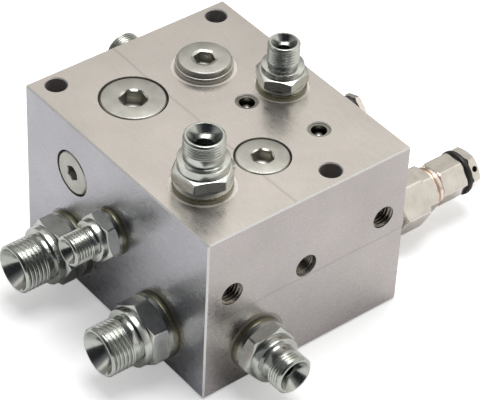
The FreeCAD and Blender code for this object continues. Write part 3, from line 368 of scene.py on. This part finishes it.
def solid(name, rows, way, spot, spin, material, body="valve", replaces=(), closed=True):
    """Close the rows into a solid round an axis: a point is (radius cos a, radius sin a, height),
    turned to point the given way and moved to spot. The last row joins the first when closed."""
    radius = np.array([row[0] for row in rows])
    height = np.array([row[1] for row in rows])
    turn = ANGLES[None, :] + math.radians(spin)
    local = np.stack([radius * np.cos(turn), radius * np.sin(turn), height], axis=-1)
    count, columns = radius.shape
    ring = np.arange(columns)
    follower = (ring + 1) % columns
    starts = np.arange(count if closed else count - 1)
    ends = (starts + 1) % count
    quads = np.stack([
        starts[:, None] * columns + ring[None, :],
        starts[:, None] * columns + follower[None, :],
        ends[:, None] * columns + follower[None, :],
        ends[:, None] * columns + ring[None, :],
    ], axis=-1).reshape(-1, 4)
    piece = new_piece(name, placed(local, way, spot), quads.tolist(), material)
    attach(piece, body)
    if replaces:
        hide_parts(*replaces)


def tidy_mesh(mesh):
    """Merge the points at a pole, turn every face outwards and mark the hard edges."""
    work = bmesh.new()
    work.from_mesh(mesh)
    bmesh.ops.remove_doubles(work, verts=work.verts, dist=1e-7)
    bmesh.ops.dissolve_degenerate(work, edges=work.edges, dist=1e-8)
    bmesh.ops.recalc_face_normals(work, faces=work.faces)
    work.to_mesh(mesh)
    work.free()
    mesh.shade_smooth()
    mesh.set_sharp_from_angle(angle=math.radians(32.0))


# The materials of this valve

MATERIALS = {
    # every metal here gets painted shade in its corners from metal(); where a third colour is given, it
    # is the colour of that shade
    # milled steel, bright, with a satin drag of the cutter: soft blurred reflections
    "block": milled_block("milled_bright_steel"),
    # bright zinc plate on turned steel: hard bright and dark reflections, fanned out by turning marks;
    # the copy for the upright adapters is painted a little brighter than those for the adapters on
    # their sides and ends, as painted light
    "adapter_up": metal("bright_zinc_plate", "D8DAD5", "BFC2BB", 0.18, 0.5, bump=0.1, lathe="Z"),
    "adapter_side": metal("bright_zinc_plate_side", "D0D2CD", "B7BAB3", 0.18, 0.5, bump=0.1, lathe="X"),
    "adapter_end": metal("bright_zinc_plate_end", "D0D2CD", "B7BAB3", 0.18, 0.5, bump=0.1, lathe="Y"),
    # yellow passivated zinc on the seal rings: olive, darker in patches
    "ring": metal("yellow_passivated_zinc", "98957F", "7C7A66", 0.32, 0.8, bump=0.1),
    # zinc plate on the blasted heads of the plugs: dull greenish grey, with brown painted shade in the
    # sockets
    "plug": metal("zinc_plated_plug", "C0BFB8", "ACABA3", 0.34, 0.4, bump=0.1, shade_colour="857A66"),
    # oiled walls of the tapped holes: dark steel whose crests catch the light, with dark painted shade
    # in the roots
    "tapped": metal("oiled_thread", "9C958A", "746E64", 0.26, 0.4, bump=0.1, shade_colour="3A352E"),
    # the pressed sleeves of the closing plugs: browned steel, darker than the plugs, with brownish
    # painted shade in their hollows
    "sleeve": metal("browned_sleeve", "9A978F", "716E66", 0.3, 0.4, bump=0.2, shade_colour="6E675A"),
    # nickel plate on drawn hexagon bar: warm and bright, with a soft mirror on its flats
    "nickel": metal("nickel_plate", "F6F1E9", "E6E0D6", 0.17, 0.6, bump=0.05),
    # annealed copper of the sealing washer: a pale pink band between the nickel parts
    "copper": metal("bare_copper", "CDA892", "BC917A", 0.32, 0.5, bump=0.1),
    # phosphated steel of the balls and poppets: dark grey with a small bright point, and grey painted
    # shade in corners
    "ball": metal("phosphated_steel", "7A7A76", "5C5C59", 0.2, 1.0, shade_colour="8A8A86"),
    # drawn spring wire: bluish grey with a dull line of light along the coils
    "spring": metal("drawn_spring_wire", "77777A", "5C5C60", 0.35, 0.3, bump=0.2),
    # moulded rubber of the wipers and cap rings: the only black parts, with a faint grey bloom
    "rubber": rubber("nitrile_rubber", "161616"),
}

# the material of each slot on a node that is shown as it is in the CAD
SLOT_MATERIAL = {
    "block_steel": "block", "bright_zinc": "adapter_up", "yellow_zinc": "ring", "rubber": "rubber",
    "plug_steel": "sleeve", "nickel": "nickel", "copper": "copper", "spring_steel": "spring",
    "hard_steel": "ball",
}


def dress_nodes():
    """Give every CAD node the material of its slot."""
    for entry in frame["record"]["subparts"]:
        material = MATERIALS[SLOT_MATERIAL[entry["material_slot"]]]
        node = NODES[entry["node"]]
        for slot in node.material_slots:
            slot.material = material


# Adapters and their seal rings

SMALL = dict(thread=6.58, screwed=11.0, bore=3.0, ring=10.3, thick=2.4, collar=9.9, collar_top=3.9,
             flats=19.0, hex_top=8.8, round=9.3, shoulder=8.7, shoulder_top=11.5, neck=6.2,
             neck_top=13.6, foot=21.4, tip_radius=5.9, tip=22.1, mouth=5.3, pitch=1.337, deep=0.75)
MEDIUM = dict(thread=8.33, screwed=11.5, bore=4.0, ring=11.95, thick=2.6, collar=11.8, collar_top=4.6,
              flats=22.0, hex_top=9.9, round=10.8, shoulder=10.35, shoulder_top=13.6, neck=8.0,
              neck_top=18.0, foot=23.7, tip_radius=7.6, tip=24.5, mouth=6.9, pitch=1.337, deep=0.75)
LARGE = dict(thread=10.48, screwed=14.0, bore=5.5, ring=14.3, thick=2.7, collar=14.0, collar_top=4.5,
             flats=25.4, hex_top=12.0, round=12.6, shoulder=12.5, shoulder_top=15.3, neck=10.0,
             neck_top=18.5, foot=28.4, tip_radius=9.8, tip=29.2, mouth=9.2, pitch=1.814, deep=1.0)

# name, size, way, place on the block's face, turn of the hexagon in degrees
ADAPTERS = [
    ("top_front", MEDIUM, "up", (-30.0, FRONT_LANE_Y, TOP_FACE), 36.0),
    ("top_tank", SMALL, "up", (33.2, 0.0, TOP_FACE), 10.0),
    ("left_middle", SMALL, "left", (-SIDE_FACE, 0.0, 45.5), 20.0),
    ("left_front", LARGE, "left", (-SIDE_FACE, FRONT_LANE_Y, FRONT_LANE_Z), 5.0),
    ("left_rear", LARGE, "left", (-SIDE_FACE, REAR_LANE_Y, REAR_LANE_Z), 34.0),
    ("front", MEDIUM, "front", (-24.6, -END_FACE, 17.3), 8.0),
    ("back", MEDIUM, "back", (JUNCTION_X, END_FACE, 54.3), 15.0),
]
TURNED_FINISH = {"up": "adapter_up", "left": "adapter_side", "front": "adapter_end",
                 "back": "adapter_end"}


def adapter_rows(kind):
    """Screwed end, washer face, hexagon, shoulder, neck, thread and the 60 degree cone inside."""
    seat = kind["thick"] - SPOT_DEPTH
    cone = (kind["mouth"] - kind["bore"]) * math.sqrt(3.0)
    rows = turned([(kind["bore"], -kind["screwed"]), (kind["thread"] - 0.8, -kind["screwed"]),
                   (kind["thread"], 0.8 - kind["screwed"]), (kind["thread"], seat),
                   (kind["collar"], seat), (kind["collar"], kind["collar_top"])])
    rows += hexagon_rows(kind["flats"], kind["round"], kind["collar"], kind["collar_top"],
                         kind["hex_top"])
    rows += turned([(kind["shoulder"], kind["hex_top"]), (kind["shoulder"], kind["shoulder_top"]),
                    (kind["neck"], kind["shoulder_top"]), (kind["neck"], kind["neck_top"]),
                    (kind["thread"], kind["neck_top"])], 0.25)
    rows += thread_rows(kind["thread"], kind["deep"], kind["pitch"], kind["neck_top"] + 0.05,
                        kind["foot"])
    rows += turned([(kind["thread"] - 0.02, kind["foot"]), (kind["tip_radius"], kind["tip"]),
                    (kind["mouth"], kind["tip"]), (kind["bore"], kind["tip"] - cone),
                    (kind["bore"], 0.2 - kind["screwed"])], 0.12)
    return rows


def seal_ring(name, outer, thread, thick, way, spot, foot, finish="ring"):
    """Steel ring of a bonded seal, its edges rounded by the press tool; foot is its height above the
    block's face."""
    inner = thread + RING_PLAY
    top = foot + thick
    middle = (outer + inner) / 2
    rows = turned([(middle, foot), (outer, foot), (outer, top), (inner, top), (inner, foot),
                   (middle - 0.1, foot)], 0.3)
    solid("ring_" + name, rows, way, spot, 0.0, MATERIALS[finish],
          replaces=("seal_ring_" + name,))


def make_adapters():
    """The seven screwed adapters, each on its seal ring."""
    for name, kind, way, spot, spin in ADAPTERS:
        solid("screwed_adapter_" + name, adapter_rows(kind), way, spot, spin,
              MATERIALS[TURNED_FINISH[way]], replaces=("adapter_" + name,))
        seal_ring(name, kind["ring"], kind["thread"], kind["thick"], way, spot, -SPOT_DEPTH)


# Plugs

# name, head radius, top and foot of the head, thread radius, end of the shank, socket across its
# flats, way, place, turn in degrees, how far the lead-in reaches past the socket's corners
PLUGS = [
    ("rear_check", 13.5, 0.0, -5.0, 10.48, -15.0, 10.0, "up",
     (REAR_CHECK_X, REAR_LANE_Y, TOP_FACE), 20.0, 0.2),
    ("front_check", 10.95, 0.0, -5.0, 8.33, -15.0, 8.0, "up",
     (FRONT_CHECK_X, FRONT_LANE_Y, TOP_FACE), 5.0, 0.2),
    ("upper_lane", 9.5, 0.0, -5.0, 6.58, -15.0, 6.0, "left",
     (-SIDE_FACE, REAR_LANE_Y, 55.6), 0.0, 0.2),
    ("junction", 11.15, 4.7, 2.4, 8.33, -10.0, 8.0, "up",
     (JUNCTION_X, REAR_LANE_Y, TOP_FACE), 12.0, 0.9),
]


def plug_rows(head, top, floor, thread, end, socket, mouth_extra):
    """Chamfered head with a hexagon socket, and the screwed shank under it."""
    mouth = socket / math.sqrt(3.0) + mouth_extra
    rows = [(0.0 * ANGLES, end + 0.0 * ANGLES)]
    rows += turned([(thread - 0.8, end), (thread, end + 0.8), (thread, floor), (head, floor),
                    (head, top - 0.6), (head - 0.6, top), (mouth, top)], 0.12)
    rows += socket_rows(socket, mouth, top - 0.02, top - socket * 0.75 + 1.0)
    return rows


def make_plugs():
    """The four screw plugs, three flush and one raised on its seal ring."""
    for name, head, top, floor, thread, end, socket, way, spot, spin, extra in PLUGS:
        solid("screwed_plug_" + name, plug_rows(head, top, floor, thread, end, socket, extra), way,
              spot, spin, MATERIALS["plug"], replaces=("plug_" + name,), closed=False)
    seal_ring("junction", MEDIUM["ring"], MEDIUM["thread"], MEDIUM["thick"], "up",
              (JUNCTION_X, REAR_LANE_Y, TOP_FACE), -SPOT_DEPTH, "plug")


# Relief valve and throttle

RELIEF_SPOT = (SIDE_FACE, FRONT_LANE_Y, FRONT_LANE_Z)
THROTTLE_SPOT = (SIDE_FACE, REAR_LANE_Y, REAR_LANE_Z)
SCREW_ROOM = 5.05    # radius of the bores round the adjusting screw
SPINDLE_ROOM = 4.05    # radius of the bores round the spindle and the closing screw


def make_relief():
    """Body, lock nut, copper washer, cap nut and its sealing ring, laid along X on the right face."""
    spin = 25.0
    nickel = MATERIALS["nickel"]
    room = SCREW_ROOM
    rows = turned([(6.0, -12.0), (8.2, -12.0), (9.0, -11.2), (9.0, 2.6), (12.5, 2.6), (12.5, 6.0),
                   (10.8, 6.0), (10.8, 18.7), (11.7, 18.7)])
    rows += hexagon_rows(24.0, 11.7, 11.7, 18.7, 33.0)
    rows += turned([(room, 33.0), (room, 26.5), (6.0, 26.5), (6.0, -11.8)], 0.1)
    solid("relief_housing", rows, "right", RELIEF_SPOT, spin, nickel,
          replaces=("relief_body",))

    rows = hexagon_rows(19.0, 9.3, 9.3, 33.0, 39.7)
    rows += turned([(9.3, 40.2), (room, 40.2), (room, 33.0)], 0.1)
    solid("lock_nut", rows, "right", RELIEF_SPOT, spin, nickel,
          replaces=("relief_lock_nut",))

    rows = turned([(room, 40.2), (9.2, 40.2), (9.2, 41.7), (room, 41.7)], 0.35)
    solid("copper_washer", rows, "right", RELIEF_SPOT, 0.0, MATERIALS["copper"],
          replaces=("relief_copper_washer",))

    rows = turned([(room, 41.7), (8.3, 41.7), (8.3, 43.7)], 0.1)
    rows += hexagon_rows(17.0, 8.3, 8.3, 43.7, 57.0)
    rows += turned([(SPINDLE_ROOM, 57.0), (SPINDLE_ROOM, 52.0), (room, 52.0), (room, 41.8)], 0.1)
    solid("cap_nut", rows, "right", RELIEF_SPOT, spin, nickel, replaces=("relief_cap_nut",))

    rows = turned([(SPINDLE_ROOM, 57.0), (9.5, 57.0), (10.0, 57.5), (10.0, 58.9), (9.5, 59.4),
                   (SPINDLE_ROOM, 59.4)], 0.4)
    solid("cap_sealing_ring", rows, "right", RELIEF_SPOT, 0.0, MATERIALS["rubber"],
          replaces=("relief_cap_ring",))
    seal_ring("relief", 12.7, 9.0, 2.6, "right", RELIEF_SPOT, 0.0)


def make_throttle():
    """Barrel body, the spindle with its hexagon end, and the wiper ring round it."""
    spin = 11.0
    nickel = MATERIALS["nickel"]
    room = SPINDLE_ROOM
    thread = MEDIUM["thread"]
    rows = turned([(room, -12.0), (7.5, -12.0), (thread, -11.2), (thread, 2.6), (10.8, 2.6)])
    rows += hexagon_rows(22.0, 10.8, 10.8, 2.6, 12.0)
    rows += turned([(9.0, 12.0), (9.0, 36.0), (7.2, 36.0), (7.2, 47.0), (room, 47.0), (room, -11.8)])
    solid("throttle_housing", rows, "right", THROTTLE_SPOT, spin, nickel,
          replaces=("throttle_body",))

    rows = [(0.0 * ANGLES, 0.0 * ANGLES - 2.0)]
    rows += turned([(4.0, -2.0), (4.0, 49.3), (4.1, 49.4)], 0.1)
    rows += hexagon_rows(12.6, 6.8, 6.8, 49.4, 52.0)
    rows += [(0.0 * ANGLES, 0.0 * ANGLES + 52.0)]
    solid("spindle", rows, "right", THROTTLE_SPOT, spin, nickel, body="throttle_spindle",
          replaces=("throttle_spindle",), closed=False)

    rows = turned([(room, 47.0), (6.8, 47.0), (6.8, 49.4), (room, 49.4)], 0.5)
    solid("wiper", rows, "right", THROTTLE_SPOT, 0.0, MATERIALS["rubber"],
          body="throttle_spindle", replaces=("throttle_wiper",))
    seal_ring("throttle", MEDIUM["ring"], thread, MEDIUM["thick"], "right", THROTTLE_SPOT, 0.0)


# Springs

# name of the check valve, wire, mean radius, coils, foot, place of the axis
CHECK_SPRINGS = (("rear", 1.2, 4.9, 6.0, 41.0, (REAR_CHECK_X, REAR_LANE_Y, 0.0)),
                 ("front", 1.0, 4.0, 7.0, 39.5, (FRONT_CHECK_X, FRONT_LANE_Y, 0.0)))
PLUG_FOOT = 65.0    # height at which the check springs meet their plugs


def coil(name, wire, radius, coils, foot, top, way, spot, part=(0.0, 1.0), replaces=()):
    """Round wire along the line (radius cos a, radius sin a, height), where a is 2 pi times the coils
    times the share t of the wire. The height rises by little more than a wire over the first and the
    last 0.9 coil, and by the rest in proportion to t between them. part is the share of the wire that
    is made."""
    share = np.linspace(part[0], part[1], int(coils * STEPS_PER_COIL * (part[1] - part[0])) + 1)
    turn = 2 * np.pi * coils * share
    closing = 0.9 / coils
    closed = wire * 1.02
    climb = 0.999 * np.clip((share - closing) / (1 - 2 * closing), 0.0, 1.0) + 0.001 * share
    height = foot + wire / 2 + climb * (top - foot - wire - 2 * closed)
    height += closed * np.clip(share / closing, 0.0, 1.0)
    height += closed * np.clip((share - 1 + closing) / closing, 0.0, 1.0)
    around = np.arange(WIRE_SIDES) * 2 * np.pi / WIRE_SIDES
    away = radius + wire / 2 * np.cos(around)[None, :]
    local = np.stack([away * np.cos(turn)[:, None], away * np.sin(turn)[:, None],
                      height[:, None] + wire / 2 * np.sin(around)[None, :]], axis=-1)
    rows = np.arange(len(share) - 1)[:, None] * WIRE_SIDES
    first = np.arange(WIRE_SIDES)[None, :]
    following = (first + 1) % WIRE_SIDES
    quads = np.stack([rows + first, rows + following, rows + WIRE_SIDES + following,
                      rows + WIRE_SIDES + first], axis=-1)
    last = (len(share) - 1) * WIRE_SIDES
    caps = [list(range(WIRE_SIDES)), list(range(last, last + WIRE_SIDES))]
    piece = new_piece(name, placed(local, way, spot), quads.reshape(-1, 4).tolist() + caps,
                      MATERIALS["spring"])
    if replaces:
        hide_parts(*replaces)
    return piece


def make_springs():
    """Each spring is made at one length, between the two parts that carry its ends. The relief spring
    is made in two halves, because both its ends move and its middle is taken as standing still."""
    for word, wire, radius, coils, foot, spot in CHECK_SPRINGS:
        piece = coil(word + "_check_coil", wire, radius, coils, foot, PLUG_FOOT, "up", spot,
                     replaces=(word + "_check_spring",))
        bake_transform(piece)
    wire, radius, coils, foot, top = 1.5, 4.6, 6.0, -2.5, 17.0
    inner = coil("relief_coil_inner", wire, radius, coils, foot, top, "right", RELIEF_SPOT,
                 (0.0, 0.5), ("relief_spring",))
    outer = coil("relief_coil_outer", wire, radius, coils, foot, top, "right", RELIEF_SPOT,
                 (0.5, 1.0))
    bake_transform(inner)
    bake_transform(outer)


# Threads in the tapped holes

# name, x, z, start of the thread, its depth and pitch
TAPPED_HOLES = (("left", -37.6, 49.5, -0.5, 0.85, 1.5), ("right", 38.4, 49.5, -0.5, 0.85, 1.5),
                ("gauge", FRONT_CHECK_X, 44.5, -1.6, 0.45, 1.0))


def make_tapped_threads():
    """The ridges of the threads, from the wall of each tapped hole inwards."""
    outer, wall, end = 5.0, 5.07, -13.5
    for name, x, z, start, depth, pitch in TAPPED_HOLES:
        rows = turned([(wall, end), (wall, start + 0.3), (outer, start + 0.3)], 0.05)
        rows += thread_rows(outer, depth, pitch, end, start)[::-1]
        solid("thread_" + name, rows, "front", (x, -END_FACE, z), 0.0, MATERIALS["tapped"])


# Floor, light and camera

def make_floor():
    """A large pale floor under the block; seen by the camera it is lifted to white, and the object's
    shadow still darkens it."""
    mesh = bpy.data.meshes.new("floor")
    size = 6.0
    height = -0.0004    # a little under the block, so that the two faces don't share a plane
    corners = [(-size, -size, height), (size, -size, height), (size, size, height),
               (-size, size, height)]
    mesh.from_pydata(corners, [], [(0, 1, 2, 3)])
    material, tree = new_material("pale_floor")
    paths = add(tree, "ShaderNodeLightPath")
    lift = add(tree, "ShaderNodeMath", {0: paths.outputs["Is Camera Ray"], 1: 0.4},
               operation="MULTIPLY")
    glow = add(tree, "ShaderNodeEmission", {"Color": linear("FFFFFF"), "Strength": lift.outputs[0]})
    matt = add(tree, "ShaderNodeBsdfDiffuse", {"Color": linear("EEEEEE")})
    both = add(tree, "ShaderNodeAddShader", {0: matt.outputs[0], 1: glow.outputs[0]})
    finish_material(tree, both)
    mesh.materials.append(material)
    floor = bpy.data.objects.new("floor", mesh)
    bpy.context.collection.objects.link(floor)


def softbox(name, spot, target, size, power, colour):
    """A rectangular lamp at spot that shines at target; metres and watts."""
    lamp = bpy.data.lights.new(name, "AREA")
    lamp.shape = "RECTANGLE"
    lamp.size, lamp.size_y = size
    lamp.energy = power
    lamp.color = linear(colour)[:3]
    lamp_object = bpy.data.objects.new(name, lamp)
    aim = (Vector(target) - Vector(spot)).to_track_quat("-Z", "Y")
    lamp_object.matrix_world = Matrix.Translation(spot) @ aim.to_matrix().to_4x4()
    bpy.context.collection.objects.link(lamp_object)


def make_light():
    """A bright room with a dim lower back wall and an unlit corner, and one soft lamp overhead."""
    world = bpy.data.worlds.new("studio_room")
    bpy.context.scene.world = world
    world.use_nodes = True
    tree = world.node_tree
    tree.nodes.clear()
    look = add(tree, "ShaderNodeTexCoord").outputs["Generated"]
    part = add(tree, "ShaderNodeSeparateXYZ", {"Vector": look}).outputs
    walls = ramp(tree, part["Z"], [(0.0, linear("BEBEBE")), (0.3, linear("E6E3DF")),
                                   (0.65, linear("F8F5F0")), (1.0, linear("FFFFFF"))])
    # the back wall is dimmer in its lower part
    low = ramp(tree, part["Z"], [(0.5, 1.0), (0.57, 0.0)])
    behind = ramp(tree, part["Y"], [(0.2, 0.0), (0.5, 1.0)])
    dim = add(tree, "ShaderNodeMath", {0: low, 1: behind}, operation="MULTIPLY").outputs[0]
    walls = add(tree, "ShaderNodeMix", {"Factor": dim, "A": walls, "B": linear("9B9A97")},
                data_type="RGBA").outputs["Result"]
    # an unlit corner towards the front left, darkest in its middle, gives the metal dark reflections
    toward = Vector((-0.72, -0.55, 0.42)).normalized()
    side = add(tree, "ShaderNodeVectorMath", {0: look, 1: tuple(toward)}, operation="DOT_PRODUCT")
    unlit = ramp(tree, side.outputs["Value"], [(0.38, 0.0), (0.52, 1.0)])
    depth = ramp(tree, side.outputs["Value"], [(0.6, linear("8C8E92")), (0.92, linear("2C2D30"))])
    room = add(tree, "ShaderNodeMix", {"Factor": unlit, "A": walls, "B": depth}, data_type="RGBA")
    sky = add(tree, "ShaderNodeBackground", {"Color": room.outputs["Result"], "Strength": 1.0})
    out = tree.nodes.new("ShaderNodeOutputWorld")
    tree.links.new(sky.outputs[0], out.inputs["Surface"])
    softbox("overhead", (0.2, 0.05, 1.25), (0, 0, 0.05), (0.7, 0.7), 11.0, "FFFFFF")


def make_camera():
    """The photograph's view: from the front left and above, with a long lens."""
    azimuth, elevation, roll = math.radians(AZIMUTH), math.radians(ELEVATION), math.radians(ROLL)
    back = Vector((math.sin(azimuth) * math.cos(elevation), -math.cos(azimuth) * math.cos(elevation),
                   math.sin(elevation)))
    right = Vector((math.cos(azimuth), math.sin(azimuth), 0.0))
    up = back.cross(right)
    turned_right = right * math.cos(roll) + up * math.sin(roll)
    turned_up = up * math.cos(roll) - right * math.sin(roll)
    matrix = Matrix((turned_right, turned_up, back)).transposed().to_4x4()
    matrix.translation = Vector(AIM) + back * DISTANCE
    camera = bpy.data.cameras.new("camera")
    camera.sensor_fit = "HORIZONTAL"
    camera.sensor_width = SENSOR_MM
    camera.lens = FOCAL_PIXELS / PICTURE_WIDTH * SENSOR_MM
    camera.clip_start = 0.05
    camera.clip_end = 20.0
    camera_object = bpy.data.objects.new("camera", camera)
    camera_object.matrix_world = matrix
    bpy.context.collection.objects.link(camera_object)
    bpy.context.scene.camera = camera_object


make_camera()
make_light()
make_floor()
dress_nodes()
make_adapters()
make_plugs()
make_relief()
make_throttle()
make_springs()
make_tapped_threads()
bpy.context.scene.view_settings.view_transform = "Standard"
